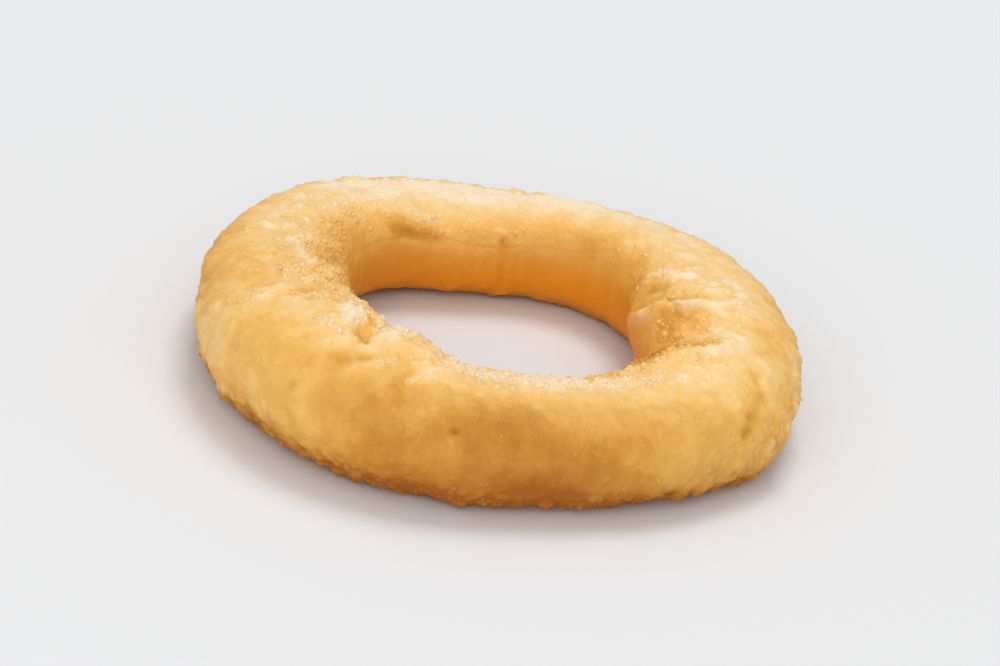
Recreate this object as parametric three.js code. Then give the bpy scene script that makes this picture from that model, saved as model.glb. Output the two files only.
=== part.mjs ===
// A battered and fried onion ring, lying flat with its folded, crumbly side up.
//
// Millimetres, +Z up. The ring lies round the Z axis, and the origin is under its middle, on the
// surface it lies on. The batter closes all round the onion, so the ring is one solid.
//
// A place on the ring is given by two angles in degrees. "round" goes round the ring from +X
// towards +Y. "side" goes round its section: 0 faces away from the hole, 90 is the top, 180 faces
// the hole and 270 is the underside.

import * as THREE from "three";

const DEGREE = Math.PI / 180;

// Driving dimensions.
const RING_ACROSS = 70; // over the batter
const HOLE_ACROSS = 35.8;
const RING_HEIGHT = 13.4;
const SECTION_POWER = 2.3; // 2 is an ellipse, and a higher power has fuller corners
const SETTLED = 0.3; // how deep the underside is pressed flat where it lies
const BATTER_COLOR = 0xe3ab5c;
const BATTER_ROUGHNESS = 0.6;

// Steps of the surface, round the ring and round its section.
const ROUND_STEPS = 112;
const SIDE_STEPS = 36;

// No ring is even. Each wave swells a size by "rise" millimetres "count" times round the ring, with
// a crest at the angle "at".
const OUTER_WAVES = [
  { count: 1, rise: 0.9, at: 210 },
  { count: 2, rise: 1.0, at: 14 },
  { count: 3, rise: 0.8, at: -3 },
  { count: 4, rise: 0.5, at: 56 },
];
const HOLE_WAVES = [
  { count: 1, rise: 1.8, at: 121 },
  { count: 2, rise: 0.5, at: 67 },
  { count: 4, rise: 0.9, at: 62 },
  { count: 5, rise: 0.4, at: -9 },
];
const HEIGHT_WAVES = [
  { count: 1, rise: 0.8, at: 237 },
  { count: 2, rise: 1.4, at: 29 },
  { count: 3, rise: 0.4, at: 10 },
];

// Folds and lobes of the batter. Each one raises the surface, or sinks it, by "rise" along a line
// from one place to another, and fades out over "reach" to both sides of that line.
const FOLDS = [
  // The cleft in the hole's right side, between its two lips.
  { from: [351, 158], to: [356, 112], rise: -1.5, reach: 2.6 },
  { from: [24, 172], to: [8, 135], rise: 0.9, reach: 1.8 },
  { from: [8, 135], to: [4, 104], rise: 0.6, reach: 1.8 },
  { from: [326, 128], to: [337, 107], rise: 0.7, reach: 2.0 },
  { from: [337, 107], to: [348, 88], rise: 0.4, reach: 2.0 },
  // The two lobes that lean into the hole at the left front, and the crease between them.
  { from: [222, 118], to: [231, 108], rise: 0.9, reach: 3.4 },
  { from: [243, 110], to: [251, 108], rise: 1.0, reach: 3.4 },
  { from: [238, 132], to: [236, 98], rise: -1.1, reach: 1.5 },
  // The rim is worn low beside them.
  { from: [260, 112], to: [270, 110], rise: -0.6, reach: 4.0 },
  // The lip where the thick left side runs out towards the back.
  { from: [189, 95], to: [199, 110], rise: 0.6, reach: 1.9 },
  { from: [199, 110], to: [193, 140], rise: 0.5, reach: 1.9 },
  // The squared right front, and the flattened left front.
  { from: [335, 335], to: [341, 350], rise: 0.9, reach: 4.0 },
  { from: [219, 342], to: [233, 332], rise: -0.5, reach: 6.0 },
];

const waveHeight = (waves, round) =>
  waves.reduce((sum, { count, rise, at }) => sum + rise * Math.cos(count * (round - at * DEGREE)), 0);

// The section's centre and half sizes at an angle round the ring.
function sectionAt(round) {
  const outer = RING_ACROSS / 2 + waveHeight(OUTER_WAVES, round);
  const inner = HOLE_ACROSS / 2 + waveHeight(HOLE_WAVES, round);
  const height = RING_HEIGHT + waveHeight(HEIGHT_WAVES, round);
  return { middle: (outer + inner) / 2, halfWidth: (outer - inner) / 2, halfHeight: height / 2 };
}

const rounded = (value) => Math.sign(value) * Math.abs(value) ** (2 / SECTION_POWER);

// A point of the even surface, before folds, with "out" millimetres added along the section.
function placeOnRing(round, side, out = 0) {
  const { middle, halfWidth, halfHeight } = sectionAt(round);
  const radius = middle + halfWidth * rounded(Math.cos(side)) + out * Math.cos(side);
  const height = halfHeight + halfHeight * rounded(Math.sin(side)) + out * Math.sin(side);
  return new THREE.Vector3(radius * Math.cos(round), radius * Math.sin(round), height - SETTLED);
}

const foldLines = FOLDS.map(({ from, to, rise, reach }) => ({
  line: new THREE.Line3(
    placeOnRing(from[0] * DEGREE, from[1] * DEGREE),
    placeOnRing(to[0] * DEGREE, to[1] * DEGREE),
  ),
  rise,
  reach,
}));

// How far the folds lift the surface at a point of it.
function foldHeight(point) {
  const nearest = new THREE.Vector3();
  return foldLines.reduce((sum, { line, rise, reach }) => {
    line.closestPointToPoint(point, true, nearest);
    return sum + rise * Math.exp(-((nearest.distanceTo(point) / reach) ** 2));
  }, 0);
}

// A torus whose points are moved to the ring's own surface. What would reach below the surface it
// lies on is flat against it.
function ringGeometry() {
  const geometry = new THREE.TorusGeometry(RING_ACROSS, HOLE_ACROSS, SIDE_STEPS, ROUND_STEPS);
  const { position, uv } = geometry.attributes;
  for (let i = 0; i < position.count; i++) {
    const round = uv.getX(i) * 2 * Math.PI;
    const side = uv.getY(i) * 2 * Math.PI;
    const even = placeOnRing(round, side);
    const place = placeOnRing(round, side, foldHeight(even));
    position.setXYZ(i, place.x, place.y, Math.max(place.z, 0));
  }
  geometry.computeBoundingBox();
  const middle = geometry.boundingBox.getCenter(new THREE.Vector3());
  geometry.translate(-middle.x, -middle.y, 0);
  geometry.computeVertexNormals();
  return geometry;
}

const batter = new THREE.MeshStandardMaterial({
  color: BATTER_COLOR,
  roughness: BATTER_ROUGHNESS,
  metalness: 0,
});

const ring = new THREE.Mesh(ringGeometry(), batter);
ring.name = "onion_ring";

const part = new THREE.Group();
part.name = "battered_onion_ring";
part.add(ring);

export default part;
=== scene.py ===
"""A battered onion ring, fried golden and lying flat, with a folded and crumbly crust.

Metres, +Z up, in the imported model's frame. A place on the ring is given by two angles in degrees:
"round" goes round the ring from +X towards +Y, and "side" goes round its section, where 0 faces
outwards, 90 is the top, 180 faces the hole and 270 is the underside.
"""

import bpy
import numpy as np
from mathutils import Matrix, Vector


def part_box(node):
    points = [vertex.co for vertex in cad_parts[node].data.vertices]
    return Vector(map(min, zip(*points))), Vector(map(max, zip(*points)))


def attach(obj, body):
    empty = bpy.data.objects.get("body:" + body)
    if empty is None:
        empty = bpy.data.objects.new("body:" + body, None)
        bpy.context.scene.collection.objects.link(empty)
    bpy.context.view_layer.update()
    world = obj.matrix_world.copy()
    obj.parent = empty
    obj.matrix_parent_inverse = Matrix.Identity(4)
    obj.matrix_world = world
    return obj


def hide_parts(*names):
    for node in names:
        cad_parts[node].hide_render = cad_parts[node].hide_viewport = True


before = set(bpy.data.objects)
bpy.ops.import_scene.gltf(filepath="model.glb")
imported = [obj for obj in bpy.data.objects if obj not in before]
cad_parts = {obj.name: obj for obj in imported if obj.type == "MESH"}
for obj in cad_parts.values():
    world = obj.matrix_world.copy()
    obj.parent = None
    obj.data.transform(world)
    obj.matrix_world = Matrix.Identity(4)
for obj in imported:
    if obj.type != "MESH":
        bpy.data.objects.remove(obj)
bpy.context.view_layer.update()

MM = 0.001
ABOVE_FLOOR = 0.02  # the lowest point of a crumb, in millimetres

# ---------------------------------------------------------------------------------------------
# The ring's form, in millimetres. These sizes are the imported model's own.
# ---------------------------------------------------------------------------------------------

RING_ACROSS = 70.0  # over the batter
HOLE_ACROSS = 35.8
RING_HEIGHT = 13.4
SECTION_POWER = 2.3  # 2 is an ellipse, and a higher power has fuller corners
SETTLED = 0.3  # how deep the underside is pressed flat where it lies

# Each wave swells a size by "rise" "count" times round the ring, with a crest at the angle "at".
OUTER_WAVES = [(1, 0.9, 210), (2, 1.0, 14), (3, 0.8, -3), (4, 0.5, 56)]  # (count, rise, at)
HOLE_WAVES = [(1, 1.8, 121), (2, 0.5, 67), (4, 0.9, 62), (5, 0.4, -9)]
HEIGHT_WAVES = [(1, 0.8, 237), (2, 1.4, 29), (3, 0.4, 10)]

# Folds of the batter: each raises or sinks the surface by "rise" along a line between two places,
# and fades out over "reach" to both sides of it. (places, rise, reach)
FOLDS = [
    # The cleft in the hole's right side, between its two lips.
    ([(351, 158), (356, 112)], -1.5, 2.6),
    ([(24, 172), (8, 135)], 0.9, 1.8),
    ([(8, 135), (4, 104)], 0.6, 1.8),
    ([(326, 128), (337, 107)], 0.7, 2.0),
    ([(337, 107), (348, 88)], 0.4, 2.0),
    # The two lobes that lean into the hole at the left front, and the crease between them.
    ([(222, 118), (231, 108)], 0.9, 3.4),
    ([(243, 110), (251, 108)], 1.0, 3.4),
    ([(238, 132), (236, 98)], -1.1, 1.5),
    # The rim is worn low beside them.
    ([(260, 112), (270, 110)], -0.6, 4.0),
    # The lip where the thick left side runs out towards the back.
    ([(189, 95), (199, 110)], 0.6, 1.9),
    ([(199, 110), (193, 140)], 0.5, 1.9),
    # The squared right front, and the flattened left front.
    ([(335, 335), (341, 350)], 0.9, 4.0),
    ([(219, 342), (233, 332)], -0.5, 6.0),
]

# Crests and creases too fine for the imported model, in the same form but along several places.
WRINKLES = [
    # The upper edge of the right lip, the crease behind it, and a third, smaller fold and its crease.
    ([(22, 172), (17, 164), (12, 154)], 0.30, 0.8),
    ([(12, 154), (7, 141), (5, 130), (4, 120), (5, 108)], 0.55, 0.65),
    ([(5, 108), (6, 97), (9, 85)], 0.35, 0.7),
    ([(20, 160), (14, 145), (10, 130), (9, 117), (11, 103)], -0.40, 0.75),
    ([(34, 139), (29, 123), (24, 108)], 0.35, 0.8),
    ([(26, 140), (23, 127)], -0.25, 0.8),
    # A low crest between the two lips.
    ([(357, 133), (354, 114), (353, 97), (352, 82)], 0.25, 0.7),
    # The crest that the front rim runs out in at the right, its low end, and the crease behind it.
    ([(318, 119), (326, 116), (332, 109), (337, 103), (343, 93)], 0.34, 0.7),
    ([(343, 93), (349, 80)], 0.20, 0.9),
    ([(336, 127), (342, 113), (348, 96)], -0.35, 0.9),
    # A flange that leans down the right end, the crevice beside it, and a nick.
    ([(347, 60), (341, 42), (337, 26)], 0.18, 0.9),
    ([(0, 40), (354, 24), (349, 8)], 0.18, 1.0),
    ([(342, 64), (340, 56)], -0.14, 0.6),
    ([(338, 47), (332, 32)], -0.12, 0.7),
    ([(330, 26), (329, 20)], -0.15, 0.6),
    # The two lobes at the left front, and the crease between them.
    ([(242, 84), (241, 94), (242, 105), (245, 127)], 0.45, 0.8),
    ([(231, 96), (225, 104)], 0.35, 0.9),
    ([(239, 88), (236, 94), (233, 110)], -0.40, 0.7),
    ([(231, 57), (233, 67), (235, 78)], 0.30, 0.8),
    # Two overlaps of batter in front of the lobes, each a crest with a shallow dent behind it.
    ([(241, 52), (243, 63), (245, 73)], 0.45, 0.7),
    ([(237, 60), (240, 68), (242, 76)], -0.18, 0.8),
    ([(253, 68), (256, 81), (258, 93), (263, 117)], 0.42, 0.7),
    ([(250, 62), (252, 74)], -0.18, 0.8),
    # A bent crease down the left front.
    ([(233, 23), (233, 2), (235, 352)], -0.14, 0.7),
    ([(236, 24), (236, 2)], 0.12, 0.7),
    # Drops of batter on the front wall, and a pore.
    ([(260, 45), (260, 44)], 0.25, 0.4),
    ([(263, 79), (264, 78)], 0.25, 0.4),
    ([(268, 75), (269, 74)], 0.25, 0.4),
    ([(265, 31), (265, 29)], -0.18, 0.45),
    # The lip at the left of the hole, the ledge that it grows from, and the ragged edge below it.
    ([(179, 93), (191, 100), (199, 103)], 0.40, 0.6),
    ([(211, 64), (209, 80), (208, 92), (206, 107)], 0.40, 0.75),
    ([(213, 92), (209, 108)], -0.20, 0.8),
    ([(201, 118), (196, 125), (184, 138), (176, 152)], 0.33, 0.7),
    ([(186, 120), (188, 132)], -0.25, 0.8),
    ([(176, 104), (172, 118), (166, 133)], 0.30, 0.8),
    # Drops on the left of the top.
    ([(176, 63), (176, 62)], 0.28, 0.6),
    ([(156, 88), (157, 89)], 0.28, 0.5),
    ([(162, 97), (162, 99)], 0.28, 0.5),
    ([(171, 76), (172, 78)], 0.24, 0.6),
    ([(150, 78), (151, 80)], 0.28, 0.6),
    # A shallow blister that burst at the back, its rim, the swelling above it, and a drop beside it.
    ([(132, 139), (127, 148), (119, 152)], -0.14, 1.0),
    ([(129, 157), (117, 165)], 0.15, 0.7),
    ([(125, 123), (119, 130)], 0.22, 0.8),
    ([(96, 143), (94, 145)], 0.25, 0.6),
]


def waves(listed, round_angle):
    """The sum of rise times the cosine of count times the angle from "at", over the listed waves."""
    return sum(rise * np.cos(count * (round_angle - np.radians(at))) for count, rise, at in listed)


def squared(value):
    """A sine or cosine raised to 2 / SECTION_POWER with its sign kept, which squares a circle."""
    return np.sign(value) * np.abs(value) ** (2 / SECTION_POWER)


def even_surface(round_angle, side, out=0.0):
    """The ring before its folds: radius = middle + half width x squared(cos side), and height = half
    height + half height x squared(sin side), each a wave sum of the round angle. "out" is added
    along the section. Returns millimetres in the last axis."""
    outer = RING_ACROSS / 2 + waves(OUTER_WAVES, round_angle)
    inner = HOLE_ACROSS / 2 + waves(HOLE_WAVES, round_angle)
    half_height = (RING_HEIGHT + waves(HEIGHT_WAVES, round_angle)) / 2
    radius = (outer + inner) / 2 + (outer - inner) / 2 * squared(np.cos(side)) + out * np.cos(side)
    height = half_height + half_height * squared(np.sin(side)) + out * np.sin(side) - SETTLED
    return np.stack([radius * np.cos(round_angle), radius * np.sin(round_angle), height], axis=-1)


def place(angles):
    """The even surface's point at a (round, side) pair of degrees."""
    return even_surface(np.radians(angles[0]), np.radians(angles[1]))


def line_distance(points, places):
    """The distance in millimetres from each point to the nearest stretch between listed places."""
    nearest = np.full(points.shape[:-1], np.inf)
    for start, end in zip(places[:-1], places[1:]):
        a, b = place(start), place(end)
        along = np.clip((points - a) @ (b - a) / ((b - a) @ (b - a)), 0, 1)
        apart = points - (a + along[..., None] * (b - a))
        nearest = np.minimum(nearest, np.linalg.norm(apart, axis=-1))
    return nearest


def fold_height(points, folds):
    """The sum over the folds of rise x exp(-(distance to the fold's line / reach) squared)."""
    total = np.zeros(points.shape[:-1])
    for places, rise, reach in folds:
        total += rise * np.exp(-((line_distance(points, places) / reach) ** 2))
    return total


def nearness(points, angles, reach):
    """exp(-(distance to a place / reach) squared), which is 1 at the place and fades over reach."""
    return np.exp(-((np.linalg.norm(points - place(angles), axis=-1) / reach) ** 2))


# ---------------------------------------------------------------------------------------------
# Noise in space, worked out for whole arrays of points.
# ---------------------------------------------------------------------------------------------


def cell_random(cells, seed):
    """One number from 0 to 1 for each cell of whole numbers: the three numbers are multiplied by
    large odd factors, joined bit by bit, and mixed by shifts."""
    factors = np.array([0x9E3779B1, 0x85EBCA77, 0xC2B2AE3D], np.uint32)
    keys = cells.astype(np.int64).astype(np.uint32) * factors
    mixed = keys[..., 0] ^ (keys[..., 1] << np.uint32(5)) ^ keys[..., 2]
    mixed = mixed ^ np.uint32(seed * 7919 + 17)
    for shift, factor in ((15, 0x2C1B3C6D), (12, 0x297A2D39), (15, 1)):
        mixed = (mixed ^ (mixed >> np.uint32(shift))) * np.uint32(factor)
    return mixed.astype(np.float64) / 2**32


NOISE_GAIN = 1.6  # brings smooth noise to about -1 to 1


def smooth_noise(points, seed):
    """Rolling noise of about -1 to 1, with hills a unit apart: a random slope at each corner of the
    unit cubes, blended between corners by 6t^5 - 15t^4 + 10t^3 along each axis."""
    base = np.floor(points)
    within = points - base
    blend = within**3 * (within * (within * 6 - 15) + 10)
    total = np.zeros(points.shape[:-1])
    for corner in np.ndindex(2, 2, 2):
        cells = base + corner
        slope = np.stack([cell_random(cells, seed * 3 + i) for i in range(3)], axis=-1) * 2 - 1
        weight = np.prod(np.where(np.array(corner), blend, 1 - blend), axis=-1)
        total += weight * np.sum(slope * (within - corner), axis=-1)
    return total * NOISE_GAIN


def rough_noise(points, seed, octaves):
    """The mean of layers of smooth noise, each half as wide and of half the weight of the last."""
    layers = [smooth_noise(points * 2**i, seed + i) / 2**i for i in range(octaves)]
    return sum(layers) / sum(0.5**i for i in range(octaves))


SMALLEST_GRAIN, LARGEST_GRAIN = 0.3, 0.7  # radii, in units of the grains' spacing
GRAIN_ROUNDNESS = 0.75  # 0.5 is a ball's own cap, and a higher power has a softer edge


def grain_caps(points, seed, chance):
    """Ball caps lying about: each unit cube holds one ball with the given chance, at a random place
    and with a random radius. The height is that of the tallest cap over the point, 0 to 1."""
    base = np.floor(points)
    spread = LARGEST_GRAIN - SMALLEST_GRAIN
    tallest = np.zeros(points.shape[:-1])
    for offset in np.ndindex(3, 3, 3):
        cells = base + np.array(offset) - 1
        centre = cells + np.stack([cell_random(cells, seed + i) for i in range(3)], axis=-1)
        radius = SMALLEST_GRAIN + spread * cell_random(cells, seed + 3)
        there = cell_random(cells, seed + 4) < chance
        gap = np.sum((points - centre) ** 2, axis=-1) / radius**2
        cap = np.clip(1 - gap, 0, 1) ** GRAIN_ROUNDNESS * radius / LARGEST_GRAIN
        cap = np.where(there, cap, 0)
        tallest = np.maximum(tallest, cap)
    return tallest


def step(low, high, value):
    """0 below low, 1 above high, and 3t^2 - 2t^3 between them. low may be the larger of the two."""
    t = np.clip((value - low) / (high - low), 0, 1)
    return t * t * (3 - 2 * t)


def bell(angle, middle, width):
    """exp(-(angle from the middle / width) squared), with angles in degrees that wrap at 360."""
    apart = (angle - middle + 180) % 360 - 180
    return np.exp(-((apart / width) ** 2))


EVERYWHERE = np.inf  # the reach of a bell that doesn't fade


def patched(round_deg, side_deg, patches):
    """The sum over the patches of amount x a bell round the ring x a bell round the section. A patch
    is (round, its reach, side, its reach, amount), in degrees."""
    total = np.zeros(np.shape(round_deg))
    for middle, reach, side, side_reach, amount in patches:
        total += amount * bell(round_deg, middle, reach) * bell(side_deg, side, side_reach)
    return total


# ---------------------------------------------------------------------------------------------
# The crust's surface.
# ---------------------------------------------------------------------------------------------

# Steps of the crust's surface, round the ring and round its section.
ROUND_STEPS = 600
SIDE_STEPS = 164
TOP_CROWDING = 0.25  # how much closer the rows lie on the top than on the underside

# Layers of the crust's relief: (millimetres apart, millimetres high).
HILLS = (9.0, 0.30)
LOW_HILLS = (4.2, 0.20)
RIDGES = (2.6, 0.12)
RIDGE_LENGTH = 11.0
RIPPLES = (2.1, 0.09)
LUMPY_RIPPLE_HEIGHT = 0.10  # what ripples gain where the crust is lumpy
WRINKLE_LAYER = (2.8, 0.22)
WRINKLE_SHARPNESS = 7
KNOBS = (1.7, 0.40)
GRANULES = (1.3, 0.26)
FINE_GRANULES = (0.8, 0.22)
LARGE_GRANULES = (1.7, 0.45)
BEND = (2.2, 0.45)  # how noise bends the listed crests and the knobs
RELIEF_MEAN = 0.08  # taken off, so that the grains don't swell the ring

# Where the crust is crumbly: (round, its reach, side, its reach, how much), in degrees.
CRUMBLY_PATCHES = [
    (262, 72, 118, 24, 0.85),  # the rim of the hole, mostly at the front
    (262, EVERYWHERE, 118, 24, 0.15),
    (190, 45, 95, 38, 0.42),  # the left of the top
    (350, 30, 125, 34, 0.25),  # the cleft
    (0, EVERYWHERE, 306, 20, 0.90),  # the bottom edge, outside
    (0, EVERYWHERE, 235, 24, 0.80),  # and at the hole
]
# How crumbly the patches are that noise scatters over the ring, and how much less inside the back.
SCATTERED_CRUMBS = 0.35
SMOOTH_PATCHES = [(95, 50, 135, 45, 0.3)]

# Where it is more lumpy than MEAN_LUMPINESS, or less.
MEAN_LUMPINESS = 0.5
LUMPY_PATCHES = [
    (280, 55, 10, 58, -0.45),  # the smooth wall at the front
    (90, 55, 0, EVERYWHERE, -0.20),  # the back
    (345, 30, 15, 45, 0.25),  # the right end
    (205, 40, 90, 60, 0.15),  # the left of the top
]

# Where it is ragged.
RAGGED_PATCHES = [
    (0, EVERYWHERE, 322, 20, 1.0),  # the foot
    (90, 65, 52, 20, 1.0),  # the back's outer shoulder
    (182, 30, 10, 22, 1.0),  # narrow bands on the outside of both ends
    (352, 30, 2, 20, 1.0),
]

# Where it is wrinkled: on the hole's side at the left front, and at the right.
WRINKLED_PATCHES = [(225, 42, 112, 38, 1.0), (355, 42, 125, 42, 1.0)]

# Where the largest granules lie besides: inside the front rim.
LARGE_GRANULE_PATCHES = [(265, 55, 124, 20, 0.7)]

# Where the wall of the hole, turned away from the open, takes a painted shade of deep orange, in
# degrees of "side".
HOLE_SHADE_SIDE = 195
HOLE_SHADE_REACH = 31


def outward_normals(grid, closed=True):
    """The unit normal at each point of a grid that closes round the ring, and round the section too
    if "closed": the cross product of the steps to its neighbours both ways."""
    along = np.roll(grid, -1, axis=0) - np.roll(grid, 1, axis=0)
    if closed:
        across = np.roll(grid, -1, axis=1) - np.roll(grid, 1, axis=1)
    else:
        across = np.gradient(grid, axis=1)
    normal = np.cross(along, across)
    return normal / np.maximum(np.linalg.norm(normal, axis=-1, keepdims=True), 1e-12)


def crumb_cover(round_deg, side_deg, points):
    """How crumbly the crust is at a place, 0 to 1: the listed patches, and patches scattered by noise
    except inside the back, all uneven over 3.5 and 1.3 mm."""
    listed = patched(round_deg, side_deg, CRUMBLY_PATCHES)
    most = SCATTERED_CRUMBS - patched(round_deg, side_deg, SMOOTH_PATCHES)
    scattered = step(0.2, 0.6, smooth_noise(points / 6.0, 41)) * most
    uneven = 0.85 + 0.5 * smooth_noise(points / 3.5, 43) + 0.25 * smooth_noise(points / 1.3, 44)
    return np.clip((listed + scattered) * uneven, 0, 1)


def lumpy_cover(round_deg, side_deg, points):
    """How lumpy the crust is, 0 to 1: the listed patches, and more wherever it is ragged, uneven over
    5 mm."""
    level = MEAN_LUMPINESS + patched(round_deg, side_deg, LUMPY_PATCHES)
    level = level + 0.5 * ragged_cover(round_deg, side_deg)
    uneven = 0.7 + 0.6 * smooth_noise(points / 5.0, 47)
    return np.clip(level * uneven, 0, 1)


def ragged_cover(round_deg, side_deg):
    """How ragged the crust is, 0 to 1: the sum of the listed patches."""
    return np.clip(patched(round_deg, side_deg, RAGGED_PATCHES), 0, 1)


def wrinkled_cover(round_deg, side_deg):
    """How wrinkled the crust is, 0 to 1: the sum of the listed patches."""
    return np.clip(patched(round_deg, side_deg, WRINKLED_PATCHES), 0, 1)


def folded_surface(round_angle, side):
    """The even surface and, on it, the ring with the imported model's own folds."""
    even = even_surface(round_angle, side)
    return even, even_surface(round_angle, side, fold_height(even, FOLDS))


def packed_shift():
    """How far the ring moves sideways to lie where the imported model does: the middle of its box less
    the middle of this form's box."""
    angles = np.linspace(0, 2 * np.pi, 361)[:-1]
    _, folded = folded_surface(*np.meshgrid(angles, angles, indexing="ij"))
    own = (folded.reshape(-1, 3).min(axis=0) + folded.reshape(-1, 3).max(axis=0)) / 2
    low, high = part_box("onion_ring")
    packed = (np.array(low) + np.array(high)) / 2 / MM
    return np.array([packed[0] - own[0], packed[1] - own[1], 0.0])


SHIFT = packed_shift()


def hills(points, layer, seed):
    """Smooth noise as a layer of relief, in millimetres."""
    apart, high = layer
    return high * smooth_noise(points / apart, seed)


def grains(points, layer, seed, chance):
    """Grain caps as a layer of relief, in millimetres."""
    apart, high = layer
    return high * grain_caps(points / apart, seed, chance)


def broad_relief(round_deg, side_deg, even):
    """Two layers of hills, and ridges that stand upright on the walls: noise of the distance round
    the ring, stretched down the section."""
    around = round_deg / 360 * np.pi * RING_ACROSS
    down = side_deg / 360 * np.pi * RING_HEIGHT
    upright = np.stack([around, down * RIDGES[0] / RIDGE_LENGTH, 0 * down], axis=-1)
    return hills(even, HILLS, 3) + hills(even, LOW_HILLS, 5) + hills(upright, RIDGES, 9)


def fold_relief(round_deg, side_deg, even, bent):
    """Wrinkles, which are sharp creases where smooth noise crosses 0, and the listed crests and
    creases, broken up by noise along their lines."""
    apart, deep = WRINKLE_LAYER
    creases = (1 - np.abs(smooth_noise(even / apart, 31))) ** WRINKLE_SHARPNESS
    broken = np.clip(0.85 + 0.6 * smooth_noise(even / 1.8, 57), 0.3, 1.4)
    return fold_height(bent, WRINKLES) * broken - deep * wrinkled_cover(round_deg, side_deg) * creases


def grain_relief(round_deg, side_deg, even, bent, cover):
    """Ripples and knobs where the crust is lumpy, granules where it is crumbly, fine granules
    everywhere, and the largest where it is ragged and inside the front rim."""
    lumpy = lumpy_cover(round_deg, side_deg, even)
    ragged = ragged_cover(round_deg, side_deg)
    large = ragged + patched(round_deg, side_deg, LARGE_GRANULE_PATCHES)
    level = np.clip(0.15 + 0.15 * lumpy + 0.7 * cover + 0.8 * ragged, 0, 1)
    ripple_height = RIPPLES[1] + LUMPY_RIPPLE_HEIGHT * lumpy
    total = ripple_height * rough_noise(even / RIPPLES[0], 7, 3)
    total += grains(bent, KNOBS, 15, 0.5) * lumpy
    total += grains(even, GRANULES, 11, 0.55) * cover
    total += grains(even, FINE_GRANULES, 19, 0.6) * level
    total += grains(even, LARGE_GRANULES, 29, 0.4) * large
    return total


def crust_relief(round_angle, side, even):
    """The crust's own heights over the folded surface, in millimetres: the broad part, and the fine
    part of folds and grains. Then the crumb cover, and how much of a crest each place is."""
    round_deg, side_deg = np.degrees(round_angle), np.degrees(side)
    apart, far = BEND
    sideways = [smooth_noise(even / apart, seed) for seed in (61, 64, 67)]
    bent = even + far * np.stack(sideways, axis=-1)
    cover = crumb_cover(round_deg, side_deg, even)
    broad = broad_relief(round_deg, side_deg, even)
    folds = fold_relief(round_deg, side_deg, even, bent)
    fine = folds + grain_relief(round_deg, side_deg, even, bent, cover) - RELIEF_MEAN
    return broad, fine, cover, folds + 0.4 * broad


def laid_flat(points):
    """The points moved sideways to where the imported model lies, and none below the floor."""
    moved = points + SHIFT
    moved[..., 2] = np.maximum(moved[..., 2], 0)
    return moved


def color_values(round_angle, side, even, relief, cover, folds):
    """What the batter's colour and grain are worked out from, at each point: how browned it is, a
    value that also holds painted light and shade, how far it stands out, how crumbly it is, and how
    deep inside the hole it lies, which sets the hole's painted shade."""
    round_deg, side_deg = np.degrees(round_angle), np.degrees(side)
    toast = toast_and_shading_of(round_deg, side_deg, even, folds)
    # How much of the hole's painted shade each place takes.
    sheltered = bell(side_deg, HOLE_SHADE_SIDE, HOLE_SHADE_REACH)
    return {"toast": toast, "relief": relief, "crumbly": cover, "sheltered": sheltered}


def crust_surface():
    """The whole ring: the folded surface raised along its normal by the crust's relief. Returns the
    grid of points in millimetres, and the colour values."""
    round_turn = np.arange(ROUND_STEPS) / ROUND_STEPS * 2 * np.pi
    side_turn = np.arange(SIDE_STEPS) / SIDE_STEPS * 2 * np.pi
    side_turn = side_turn + TOP_CROWDING * np.cos(side_turn)
    round_angle, side = np.meshgrid(round_turn, side_turn, indexing="ij")
    even, folded = folded_surface(round_angle, side)
    broad, fine, cover, folds = crust_relief(round_angle, side, even)
    points = laid_flat(folded + outward_normals(folded) * (broad + fine)[..., None])
    return points, color_values(round_angle, side, even, fine, cover, folds)


# ---------------------------------------------------------------------------------------------
# The coats: bands over the crust, with a finer surface than the whole ring has.
# ---------------------------------------------------------------------------------------------

COAT_RETURN = 4  # columns that close a coat inside the crust
COAT_DEPTH = 1.2
COAT_LIFT = 0.03  # how far a coat stands out of the crust
CRUMBLY_LIFT = 0.10  # how much farther it does where it is crumbly
COAT_DIVE = 0.5  # how far its edges lie inside the crust
COAT_EDGE = 0.2  # the share of its width over which each edge rises
COAT_GRAINS = (0.8, 0.22)
COAT_FINE_GRAINS = (0.42, 0.10)
GRAIN_PALENESS = 1.6  # how much more than its height a coat's grain counts for the colour
GRAIN_MEAN = 0.04  # the grains' mean height


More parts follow.
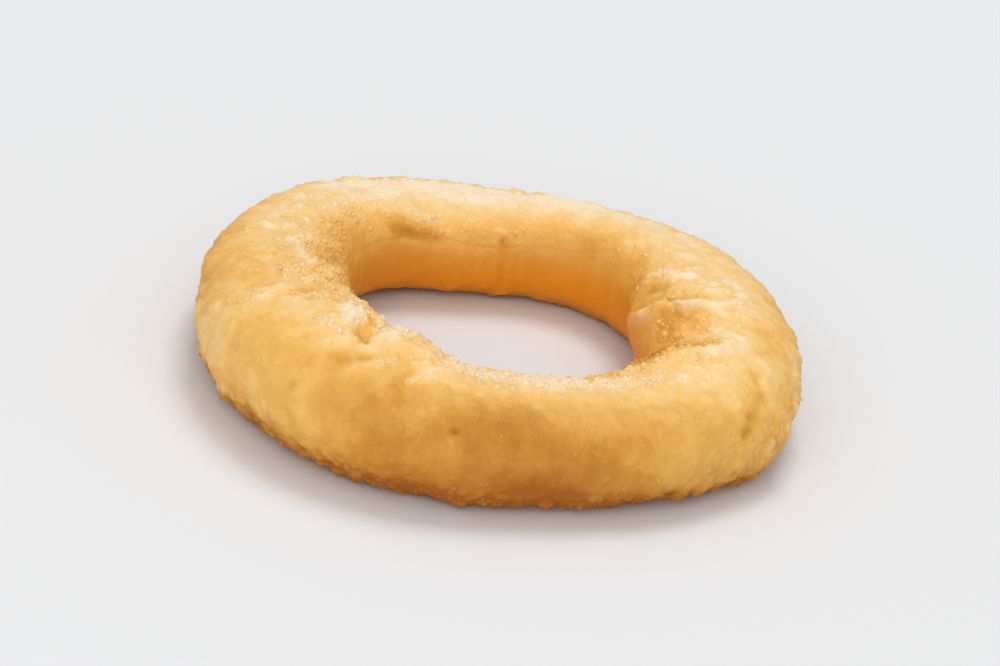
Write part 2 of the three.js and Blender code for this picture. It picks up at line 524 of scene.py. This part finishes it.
def coat_surface(side_from, side_to, round_steps, side_steps):
    """A band round the ring that lies just outside the crust, covered in two sizes of grains where
    the crust is crumbly or ragged. It dives into the crust at its uneven edges, and a few columns
    inside the crust close it. Returns the grid of points in millimetres, and the colour values."""
    round_turn = np.arange(round_steps) / round_steps * 2 * np.pi
    side_turn = np.radians(np.linspace(side_from, side_to, side_steps))
    round_angle, side = np.meshgrid(round_turn, side_turn, indexing="ij")
    even, folded = folded_surface(round_angle, side)
    broad, fine, cover, folds = crust_relief(round_angle, side, even)
    across = np.linspace(0, 1, side_steps) + 0.05 * smooth_noise(even / 2.5, 73)
    edge = np.minimum(step(0, COAT_EDGE, across), step(1, 1 - COAT_EDGE, across))
    edge[:, [0, -1]] = 0
    ragged = ragged_cover(np.degrees(round_angle), np.degrees(side))
    grained = grains(even, COAT_GRAINS, 71, 0.65) + grains(even, COAT_FINE_GRAINS, 79, 0.8)
    grained = grained * np.clip(0.2 + 0.8 * cover + 0.6 * ragged, 0, 1)
    lift = (COAT_LIFT + CRUMBLY_LIFT * cover + grained) * edge - COAT_DIVE * (1 - edge)
    normal = outward_normals(folded, closed=False)
    outside = folded + normal * (broad + fine + lift)[..., None]
    back = np.round(np.linspace(side_steps - 1, 0, COAT_RETURN)).astype(int)
    inside = folded[:, back] - normal[:, back] * COAT_DEPTH
    points = laid_flat(np.concatenate([outside, inside], axis=1))
    # The colour reads the coat's grains for paler tops and browner gaps: partly painted highlight and
    # shade.
    relief = fine + GRAIN_PALENESS * (grained - GRAIN_MEAN)
    values = color_values(round_angle, side, even, relief, cover, folds)
    values = {key: np.concatenate([array, array[:, back]], axis=1) for key, array in values.items()}
    return points, values


# ---------------------------------------------------------------------------------------------
# Meshes.
# ---------------------------------------------------------------------------------------------


def grid_mesh(name, grid, values):
    """A mesh of quads over a grid that closes in both directions, with a float attribute for each
    named array of values, and smooth faces."""
    rows, columns = grid.shape[:2]
    index = np.arange(rows * columns).reshape(rows, columns)
    ahead = np.roll(index, -1, axis=0)
    faces = np.stack([index, ahead, np.roll(ahead, -1, axis=1), np.roll(index, -1, axis=1)], axis=-1)
    return array_mesh(name, grid.reshape(-1, 3) * MM, faces.reshape(-1, 4), values)


def array_mesh(name, points, faces, values):
    """A smooth mesh of points in metres and of faces that all have the same number of corners."""
    mesh = bpy.data.meshes.new(name)
    corners = faces.shape[1]
    mesh.vertices.add(len(points))
    mesh.vertices.foreach_set("co", points.astype(np.float32).ravel())
    mesh.loops.add(faces.size)
    mesh.loops.foreach_set("vertex_index", faces.astype(np.int32).ravel())
    mesh.polygons.add(len(faces))
    mesh.polygons.foreach_set("loop_start", np.arange(0, faces.size, corners, dtype=np.int32))
    mesh.update(calc_edges=True)
    mesh.shade_smooth()
    for attribute, array in values.items():
        layer = mesh.attributes.new(attribute, "FLOAT", "POINT")
        layer.data.foreach_set("value", array.astype(np.float32).ravel())
    piece = bpy.data.objects.new(name, mesh)
    bpy.context.scene.collection.objects.link(piece)
    return piece


# ---------------------------------------------------------------------------------------------
# Loose crumbs on the crust.
# ---------------------------------------------------------------------------------------------


def crumb_shape():
    """The twelve corners of a regular icosahedron of radius 1, and its twenty faces."""
    golden = (1 + 5**0.5) / 2
    corners = [(-1, golden, 0), (1, golden, 0), (-1, -golden, 0), (1, -golden, 0)]
    corners += [(0, -1, golden), (0, 1, golden), (0, -1, -golden), (0, 1, -golden)]
    corners += [(golden, 0, -1), (golden, 0, 1), (-golden, 0, -1), (-golden, 0, 1)]
    fans = [(0, 11, 5), (0, 5, 1), (0, 1, 7), (0, 7, 10), (0, 10, 11)]
    fans += [(1, 5, 9), (5, 11, 4), (11, 10, 2), (10, 7, 6), (7, 1, 8)]
    fans += [(3, 9, 4), (3, 4, 2), (3, 2, 6), (3, 6, 8), (3, 8, 9)]
    fans += [(4, 9, 5), (2, 4, 11), (6, 2, 10), (8, 6, 7), (9, 8, 1)]
    return np.array(corners) / np.hypot(1, golden), np.array(fans)


def random_turns(random, count):
    """Random rotation matrices, from unit quaternions of four normal numbers each."""
    turns = random.normal(size=(count, 4))
    w, x, y, z = (turns / np.linalg.norm(turns, axis=1, keepdims=True)).T
    rows = [1 - 2 * (y * y + z * z), 2 * (x * y - z * w), 2 * (x * z + y * w)]
    rows += [2 * (x * y + z * w), 1 - 2 * (x * x + z * z), 2 * (y * z - x * w)]
    rows += [2 * (x * z - y * w), 2 * (y * z + x * w), 1 - 2 * (x * x + y * y)]
    return np.stack(rows, axis=-1).reshape(-1, 3, 3)


CRUMB_SIZE_POWER = 2.5  # 1 has as many large crumbs as small ones, and a higher power fewer
CRUMB_DENTS = 0.3  # how far a crumb's corners lie in or out, as a share of its half size
CRUMB_STRETCH = (0.7, 1.2)
CRUMB_SUNK = (0.2, 0.8)  # how deep a crumb lies in the crust, as a share of its half size
# Crumbs' relief is kept within these, so they take some of the tips' painted highlight and none of the
# hollows' painted shade.
CRUMB_RELIEF = (0.05, 0.3)


def scatter_crumbs(name, grid, values, chances, count, sizes, browner, seed):
    """Crumbs as one mesh: "count" grid points are drawn by their chances without repeats, and each
    gets a 20-sided lump of a random size, stretch, turn, dents and depth. Its colour is that of the
    crust below it, browned further by "browner"."""
    random = np.random.default_rng(seed)
    weights = chances.ravel() / chances.sum()
    drawn = random.choice(weights.size, count, replace=False, p=weights)
    corners, fans = crumb_shape()
    size = sizes[0] + (sizes[1] - sizes[0]) * random.random(count) ** CRUMB_SIZE_POWER
    dents = random.uniform(-CRUMB_DENTS, CRUMB_DENTS, (count, len(corners), 1))
    lumps = corners * (1 + dents) * random.uniform(*CRUMB_STRETCH, (count, 1, 3))
    lumps = np.einsum("nij,nkj->nki", random_turns(random, count), lumps) * size[:, None, None] / 2
    sunk = size / 2 * random.uniform(*CRUMB_SUNK, count)
    normals = outward_normals(grid).reshape(-1, 3)[drawn]
    centres = grid.reshape(-1, 3)[drawn] - normals * sunk[:, None]
    points = lumps + centres[:, None, :]
    points[..., 2] = np.maximum(points[..., 2], ABOVE_FLOOR)
    faces = fans[None] + (np.arange(count) * len(corners))[:, None, None]
    carried = {key: np.repeat(array.ravel()[drawn], len(corners)) for key, array in values.items()}
    carried["toast"] = carried["toast"] + browner
    carried["relief"] = np.clip(carried["relief"], *CRUMB_RELIEF)
    return array_mesh(name, points.reshape(-1, 3) * MM, faces.reshape(-1, 3), carried)


def outside_only(chances, first_column=0):
    """The chances, with none for a coat's columns inside the crust or before the first column."""
    chances[:, -COAT_RETURN:] = 0
    chances[:, :first_column] = 0
    return chances


# ---------------------------------------------------------------------------------------------
# How browned each place is, with painted light and shade in it.
# ---------------------------------------------------------------------------------------------

# Small dark places: (place, how much browner, reach in millimetres).
BROWN_SPOTS = [
    ((338, 45), 0.12, 0.9),
    ((331, 30), 0.24, 1.4),
    ((329, 22), 0.16, 0.8),
    ((265, 31), 0.14, 0.5),
    ((131, 140), 0.18, 1.4),
    ((127, 146), 0.22, 1.3),
    ((121, 150), 0.24, 1.3),
    ((95, 148), 0.3, 0.5),
]

# How browned the crust is round its section, 0 pale to 1 brown: (side, value). Part of it is
# painted light and shade: the top paler where the light above falls, and the hole's wall and the
# underside darker where they lie in shade, besides real browning underneath.
SIDE_TOAST_AND_SHADING = [(0, 0.44), (20, 0.38), (40, 0.30), (60, 0.20), (80, 0.08), (100, 0.06), (120, 0.16)]
SIDE_TOAST_AND_SHADING += [(140, 0.34), (160, 0.44), (185, 0.60), (230, 0.75), (275, 0.85), (325, 1.0)]
SIDE_TOAST_AND_SHADING += [(338, 0.64), (350, 0.50)]

# Where the ring is browner than that, or paler: (round, its reach, side, its reach, value).
# These mix real browning with painted light and shade, and the plainest are marked.
TOAST_AND_SHADING_PATCHES = [
    # The front wall is browner: a painted shade where it faces away from the light above.
    (277, 36, 38, 48, 0.42),  # the front wall
    # Its lower edge is browner: partly real browning, partly a painted shade near the floor.
    (279, 30, 342, 22, 0.35),  # its lower edge
    # The tip of the right lip is paler: a painted light where it lies in shade.
    (6, 22, 166, 20, -0.20),  # the tip of the right lip
    # The left end is darker: a painted shadow.
    (178, 16, 15, 24, 0.20),  # the left end
    (210, 30, 0, 35, -0.22),  # the foot of the left
    (106, 62, 80, 25, -0.26),  # the top of the back
    (75, 55, 124, 14, 0.08),  # the hole's edge of the back
    (178, 26, 132, 24, 0.30),  # the left of the hole
    (190, 34, 88, 28, 0.13),  # the left of the top
    # Under the front lip of the cleft it is browner: a painted shade.
    (334, 22, 131, 24, 0.60),  # under the front lip of the cleft
    (335, 25, 8, 30, -0.05),  # the right end
    (295, 34, 70, 22, 0.14),  # below the rim at the right front
    (85, 42, 8, 30, 0.22),  # low on the outside of the back
    (150, 26, 350, 24, 0.16),  # and at the left of it
    (290, 34, 112, 17, -0.20),  # the rim at the front of the hole
]

PALEST_TOAST_AND_SHADING, BROWNEST_TOAST_AND_SHADING = -0.1, 1.2


def toast_and_shading_of(round_deg, side_deg, even, folds):
    """How browned the crust is, with painted light and shade in it: the section's table and its
    patches, uneven over 8 and 3 mm, a little paler on the crests of folds and browner in their
    creases, partly as a painted highlight and shade, and darker at the listed spots."""
    total = np.interp(side_deg, *zip(*SIDE_TOAST_AND_SHADING), period=360)
    total = total + patched(round_deg, side_deg, TOAST_AND_SHADING_PATCHES)
    total = total + 0.10 * smooth_noise(even / 8.0, 51) + 0.10 * smooth_noise(even / 3.0, 53)
    # Paler on crests and browner in creases: partly real, partly a painted highlight and shade.
    total = total + np.clip(-0.6 * folds, -0.05, 0.30)
    for angles, browner, reach in BROWN_SPOTS:
        total = total + browner * nearness(even, angles, reach)
    return np.clip(total, PALEST_TOAST_AND_SHADING, BROWNEST_TOAST_AND_SHADING)


# ---------------------------------------------------------------------------------------------
# Materials.
# ---------------------------------------------------------------------------------------------


def new_group(name, inputs, outputs):
    """A shader node group with named sockets: inputs as (name, kind, default), outputs as (name,
    kind). Returns the group's tree and its input and output nodes."""
    tree = bpy.data.node_groups.new(name, "ShaderNodeTree")
    for label, kind, default in inputs:
        socket = tree.interface.new_socket(label, in_out="INPUT", socket_type=f"NodeSocket{kind}")
        if default is not None:
            socket.default_value = default
    for label, kind in outputs:
        tree.interface.new_socket(label, in_out="OUTPUT", socket_type=f"NodeSocket{kind}")
    return tree, tree.nodes.new("NodeGroupInput"), tree.nodes.new("NodeGroupOutput")


def add(tree, kind, settings=None, **inputs):
    """A node of the kind, with its settings, and with each input set to a value or linked to a
    socket. An underscore in an input's name stands for a space, and i3 is the input of number 3."""
    node = tree.nodes.new(kind)
    for label, value in (settings or {}).items():
        setattr(node, label, value)
    for label, value in inputs.items():
        key = int(label[1:]) if label[0] == "i" and label[1:].isdigit() else label.replace("_", " ")
        if isinstance(value, bpy.types.NodeSocket):
            tree.links.new(value, node.inputs[key])
        else:
            node.inputs[key].default_value = value
    return node


def maths(tree, operation, first, second=0.0, third=0.0):
    """The result socket of a Math node."""
    node = add(tree, "ShaderNodeMath", {"operation": operation}, i0=first, i1=second, i2=third)
    return node.outputs[0]


def ranged(tree, value, low, high, start=0.0, end=1.0):
    """The result socket of a Map Range node, which goes from start at low to end at high."""
    node = add(tree, "ShaderNodeMapRange", i0=value, i1=low, i2=high, i3=start, i4=end)
    return node.outputs[0]


def blended(tree, amount, first, second):
    """The result socket of a mix of two colours."""
    settings = {"data_type": "RGBA", "clamp_factor": True}
    return add(tree, "ShaderNodeMix", settings, i0=amount, i6=first, i7=second).outputs[2]


# The batter's colours as it browns, or as painted shade darkens it, each with the value at which
# it starts and is full.
BROWNING = [("Butter", -0.05, 0.12), ("Golden", 0.12, 0.34), ("Amber", 0.3, 0.7)]
BROWNING += [("Brown", 0.65, 1.1)]

# Noise scales of the shaders, for each metre.
MOTTLE_SCALE = 650.0
SPECK_SCALE = 2300.0
OIL_SCALE = 330.0
GRAIN_SCALE = 2200.0
FUZZ_SCALE = 5200.0


def browning_and_shading_group():
    """Batter's colour: pale, turned butter, golden, amber and then brown as its browning value rises,
    a value that also holds painted light and shade, mottled over 1.5 mm, and browner in its hollows
    by Relief, partly real and partly a painted shade. Inside the hole it turns deep orange, a painted
    shade. The tips of its grains are paler, partly a painted highlight, the less browned the more,
    and it has amber specks 0.4 mm apart."""
    colors = ["Pale", "Butter", "Golden", "Amber", "Brown", "Deep"]
    numbers = {"Toast": 0.2, "Relief": 0.0, "Sheltered": 0.0, "Mottle": 0.15, "Specks": 0.3}
    inputs = [(label, "Float", default) for label, default in numbers.items()]
    inputs += [(label, "Color", None) for label in colors]
    tree, given, result = new_group("batter browning", inputs, [("Color", "Color")])
    toast, relief = given.outputs["Toast"], given.outputs["Relief"]
    sheltered = given.outputs["Sheltered"]
    where = add(tree, "ShaderNodeTexCoord").outputs["Object"]
    patches = add(
        tree, "ShaderNodeTexNoise", Vector=where, Scale=MOTTLE_SCALE, Detail=3.0, Roughness=0.6
    )
    centred = maths(tree, "SUBTRACT", patches.outputs[0], 0.5)
    toast = maths(tree, "ADD", toast, maths(tree, "MULTIPLY", centred, given.outputs["Mottle"]))
    # Browner in the hollows: partly real, partly a painted shade.
    toast = maths(tree, "ADD", toast, ranged(tree, relief, 0.0, -0.30, 0.0, 0.20))
    color = given.outputs["Pale"]
    for label, start, full in BROWNING:
        color = blended(tree, ranged(tree, toast, start, full), color, given.outputs[label])
    # The hole's inner wall turns deep orange: a painted shade.
    color = blended(tree, sheltered, color, given.outputs["Deep"])
    # Paler tips: partly real, partly a painted highlight.
    tips = ranged(tree, relief, 0.08, 0.42, 0.0, 0.38)
    tips = maths(tree, "MULTIPLY", tips, ranged(tree, toast, 0.35, 0.8, 1.0, 0.15))
    tips = maths(tree, "MULTIPLY", tips, maths(tree, "SUBTRACT", 1.0, sheltered))
    color = blended(tree, tips, color, given.outputs["Pale"])
    dots = add(tree, "ShaderNodeTexNoise", Vector=where, Scale=SPECK_SCALE, Detail=2.0)
    specks = ranged(tree, dots.outputs[0], 0.62, 0.74)
    specks = maths(tree, "MULTIPLY", specks, given.outputs["Specks"])
    color = blended(tree, specks, color, given.outputs["Amber"])
    tree.links.new(color, result.inputs["Color"])
    return tree


def fine_grain_group():
    """The batter's skin: rounded grains 0.45 mm apart over a finer fuzz, as a height that grows with
    Crumbly, and how rough it is, glossier where oil lies in patches 3 mm across."""
    inputs = [("Crumbly", "Float", 0.5), ("Least Rough", "Float", 0.4), ("Most Rough", "Float", 0.6)]
    outputs = [("Height", "Float"), ("Roughness", "Float")]
    tree, given, result = new_group("batter skin", inputs, outputs)
    where = add(tree, "ShaderNodeTexCoord").outputs["Object"]
    cells = add(
        tree, "ShaderNodeTexVoronoi", {"feature": "SMOOTH_F1"},
        Vector=where, Scale=GRAIN_SCALE, Smoothness=0.6,
    )
    fuzz = add(tree, "ShaderNodeTexNoise", Vector=where, Scale=FUZZ_SCALE, Detail=3.0)
    grain_part = maths(tree, "SUBTRACT", 0.4, cells.outputs["Distance"])
    centred = maths(tree, "SUBTRACT", fuzz.outputs[0], 0.5)
    height = maths(tree, "ADD", grain_part, maths(tree, "MULTIPLY", centred, 0.8))
    amount = maths(tree, "MULTIPLY_ADD", given.outputs["Crumbly"], 0.7, 0.3)
    height = maths(tree, "MULTIPLY", height, amount)
    oil = add(tree, "ShaderNodeTexNoise", Vector=where, Scale=OIL_SCALE, Detail=2.0)
    least, most = given.outputs["Least Rough"], given.outputs["Most Rough"]
    rough = ranged(tree, oil.outputs[0], 0.35, 0.65, least, most)
    tree.links.new(height, result.inputs["Height"])
    tree.links.new(rough, result.inputs["Roughness"])
    return tree


def batter_material(name, browning_and_shading_tree, skin_tree, colors, mottle, specks, roughness, grain_depth):
    """Fried batter: the colour from the group for browning and painted light and shade, and the skin
    group's grain and gloss.
    """
    material = bpy.data.materials.new(name)
    material.use_nodes = True
    tree = material.node_tree
    tree.nodes.clear()
    given = {}
    for label in ("toast", "relief", "sheltered", "crumbly"):
        given[label] = add(tree, "ShaderNodeAttribute", {"attribute_name": label}).outputs["Fac"]
    skin = add(
        tree, "ShaderNodeGroup", {"node_tree": skin_tree},
        Crumbly=given["crumbly"], Least_Rough=roughness[0], Most_Rough=roughness[1],
    )
    # The skin's grain joins the relief that the colour reads, so its tips are paler and its gaps
    # browner: partly painted highlight and shade.
    relief = maths(tree, "MULTIPLY_ADD", skin.outputs["Height"], 0.25, given["relief"])
    browning_and_shading = add(
        tree, "ShaderNodeGroup", {"node_tree": browning_and_shading_tree},
        Toast=given["toast"], Relief=relief, Sheltered=given["sheltered"],
        Mottle=mottle, Specks=specks, **colors,
    )
    bump = add(
        tree, "ShaderNodeBump",
        Strength=1.0, Distance=grain_depth * MM, Height=skin.outputs["Height"],
    )
    shader = add(
        tree, "ShaderNodeBsdfPrincipled",
        Base_Color=browning_and_shading.outputs["Color"], Roughness=skin.outputs["Roughness"],
        Normal=bump.outputs[0], IOR=1.46, Specular_IOR_Level=0.3,
    )
    output = add(tree, "ShaderNodeOutputMaterial")
    tree.links.new(shader.outputs[0], output.inputs["Surface"])
    return material


def srgb(red, green, blue):
    """A linear colour from 0-255 display values."""
    values = np.array([red, green, blue]) / 255
    linear = np.where(values <= 0.04045, values / 12.92, ((values + 0.055) / 1.055) ** 2.4)
    return (*linear, 1.0)


CRUST_COLORS = {
    "Pale": srgb(253, 229, 192),
    "Butter": srgb(248, 208, 140),
    "Golden": srgb(246, 192, 103),
    "Amber": srgb(217, 156, 60),
    "Brown": srgb(172, 99, 12),
    # The deep orange of the hole's painted shade.
    "Deep": srgb(232, 142, 0),
}

# Paler than the crust's in the darker tones: a painted light that makes up for the shade between
# crumbs.
CRUMB_COLORS = {
    "Pale": srgb(252, 227, 188),
    "Butter": srgb(248, 209, 142),
    "Golden": srgb(247, 195, 110),
    "Amber": srgb(224, 163, 66),
    "Brown": srgb(188, 114, 28),
    # The deep orange of the hole's painted shade.
    "Deep": srgb(240, 158, 30),
}

crust_points, crust_values = crust_surface()
rim_points, rim_values = coat_surface(66, 172, round_steps=940, side_steps=100)
wall_points, wall_values = coat_surface(-35, 95, round_steps=1050, side_steps=90)
edge_points, edge_values = coat_surface(272, 350, round_steps=1100, side_steps=66)

groups = (browning_and_shading_group(), fine_grain_group())
crust_batter = batter_material(
    "fried batter", *groups, CRUST_COLORS,
    mottle=0.14, specks=0.12, roughness=(0.40, 0.56), grain_depth=0.13,
)
crumb_batter = batter_material(
    "fried crumbs", *groups, CRUMB_COLORS,
    mottle=0.25, specks=0.1, roughness=(0.42, 0.58), grain_depth=0.05,
)

crust = grid_mesh("batter_crust", crust_points, crust_values)
rim_coat = grid_mesh("rim_crumb_coat", rim_points, rim_values)
edge_coat = grid_mesh("edge_crumb_coat", edge_points, edge_values)
wall_coat = grid_mesh("wall_coat", wall_points, wall_values)

# The rim's crumbs are paler than the crust below them: a painted light against the shade between them.
rim_crumbs = scatter_crumbs(
    "rim_crumbs", rim_points, rim_values, outside_only(rim_values["crumbly"] ** 2, first_column=10),
    count=4400, sizes=(0.36, 1.00), browner=-0.09, seed=7,
)
edge_crumbs = scatter_crumbs(
    "edge_crumbs", edge_points, edge_values, outside_only(edge_values["crumbly"] ** 2),
    count=2600, sizes=(0.2, 0.7), browner=0.20, seed=8,
)
# On the wall, crumbs lie mostly on what stands out.
wall_chances = wall_values["crumbly"] * (wall_values["relief"] > 0) + 0.01
stray_crumbs = scatter_crumbs(
    "stray_crumbs", wall_points, wall_values, outside_only(wall_chances, first_column=12),
    count=1500, sizes=(0.2, 0.5), browner=-0.04, seed=9,
)

coats = (rim_coat, edge_coat, wall_coat)
crumbs = (rim_crumbs, edge_crumbs, stray_crumbs)
for piece in (crust, *coats):
    piece.data.materials.append(crust_batter)
for piece in crumbs:
    piece.data.materials.append(crumb_batter)
for piece in (crust, *coats, *crumbs):
    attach(piece, "root")
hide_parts("onion_ring")

# ---------------------------------------------------------------------------------------------
# Floor, lights and camera.
# ---------------------------------------------------------------------------------------------

FLOOR_ACROSS = 6.0
FLOOR_COLOR = (0.82, 0.825, 0.835, 1.0)
CAMERA_DISTANCE = 0.7
CAMERA_ELEVATION = 27.0  # degrees above the floor
CAMERA_ROLL = 10.1  # degrees
LENS = 216.0  # the focal length, in millimetres
AIM_HEIGHT = 7.0  # millimetres over the floor


def pale_floor():
    """A flat square that the ring lies on."""
    half = FLOOR_ACROSS / 2
    mesh = bpy.data.meshes.new("floor")
    corners = [(-half, -half, 0), (half, -half, 0), (half, half, 0), (-half, half, 0)]
    mesh.from_pydata(corners, [], [(0, 1, 2, 3)])
    floor = bpy.data.objects.new("floor", mesh)
    bpy.context.scene.collection.objects.link(floor)
    material = bpy.data.materials.new("floor")
    material.use_nodes = True
    shader = material.node_tree.nodes["Principled BSDF"]
    shader.inputs["Base Color"].default_value = FLOOR_COLOR
    shader.inputs["Roughness"].default_value = 0.8
    shader.inputs["Specular IOR Level"].default_value = 0.1
    mesh.materials.append(material)


def placement(right, up, back, position):
    """The matrix of an object with these axes that stands at this position."""
    rows = np.column_stack([right, up, back, position]).tolist()
    return Matrix([*rows, (0, 0, 0, 1)])


def soft_light(name, position, across, power):
    """A square area light aimed at the ring, with its size in metres and its power in watts."""
    data = bpy.data.lights.new(name, "AREA")
    data.size = across
    data.energy = power
    lamp = bpy.data.objects.new(name, data)
    back = np.array(position) / np.linalg.norm(position)
    right = np.cross((0.0, 1.0, 0.001), back)
    right = right / np.linalg.norm(right)
    lamp.matrix_world = placement(right, np.cross(back, right), back, position)
    bpy.context.scene.collection.objects.link(lamp)


def white_surroundings(strength, seen):
    """A white room that lights the ring with one strength, and is seen with another, which is that
    of the far floor."""
    world = bpy.data.worlds.new("white room")
    bpy.context.scene.world = world
    world.use_nodes = True
    tree = world.node_tree
    background = tree.nodes["Background"]
    path = tree.nodes.new("ShaderNodeLightPath")
    amount = ranged(tree, path.outputs["Is Camera Ray"], 0.0, 1.0, strength, seen)
    background.inputs["Color"].default_value = (1, 1, 1, 1)
    tree.links.new(amount, background.inputs["Strength"])


def main_camera():
    """A long lens that looks along +Y and down, rolled a little, at the middle of the ring."""
    down, roll = np.radians(CAMERA_ELEVATION), np.radians(CAMERA_ROLL)
    level = np.array([1.0, 0.0, 0.0])
    upright = np.array([0.0, np.sin(down), np.cos(down)])
    back = np.array([0.0, -np.cos(down), np.sin(down)])
    right = np.cos(roll) * level + np.sin(roll) * upright
    up = -np.sin(roll) * level + np.cos(roll) * upright
    low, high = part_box("onion_ring")
    target = np.array([(low.x + high.x) / 2, (low.y + high.y) / 2, AIM_HEIGHT * MM])
    data = bpy.data.cameras.new("camera")
    data.lens = LENS
    data.clip_end = 20
    camera = bpy.data.objects.new("camera", data)
    camera.matrix_world = placement(right, up, back, target + back * CAMERA_DISTANCE)
    bpy.context.scene.collection.objects.link(camera)
    bpy.context.scene.camera = camera


pale_floor()
soft_light("softbox above", (0.06, 0.30, 0.80), across=0.36, power=2.5)
soft_light("softbox in front", (-0.12, -0.64, 0.36), across=0.6, power=2.1)
white_surroundings(strength=0.56, seen=0.48)
main_camera()
bpy.context.scene.view_settings.view_transform = "Standard"
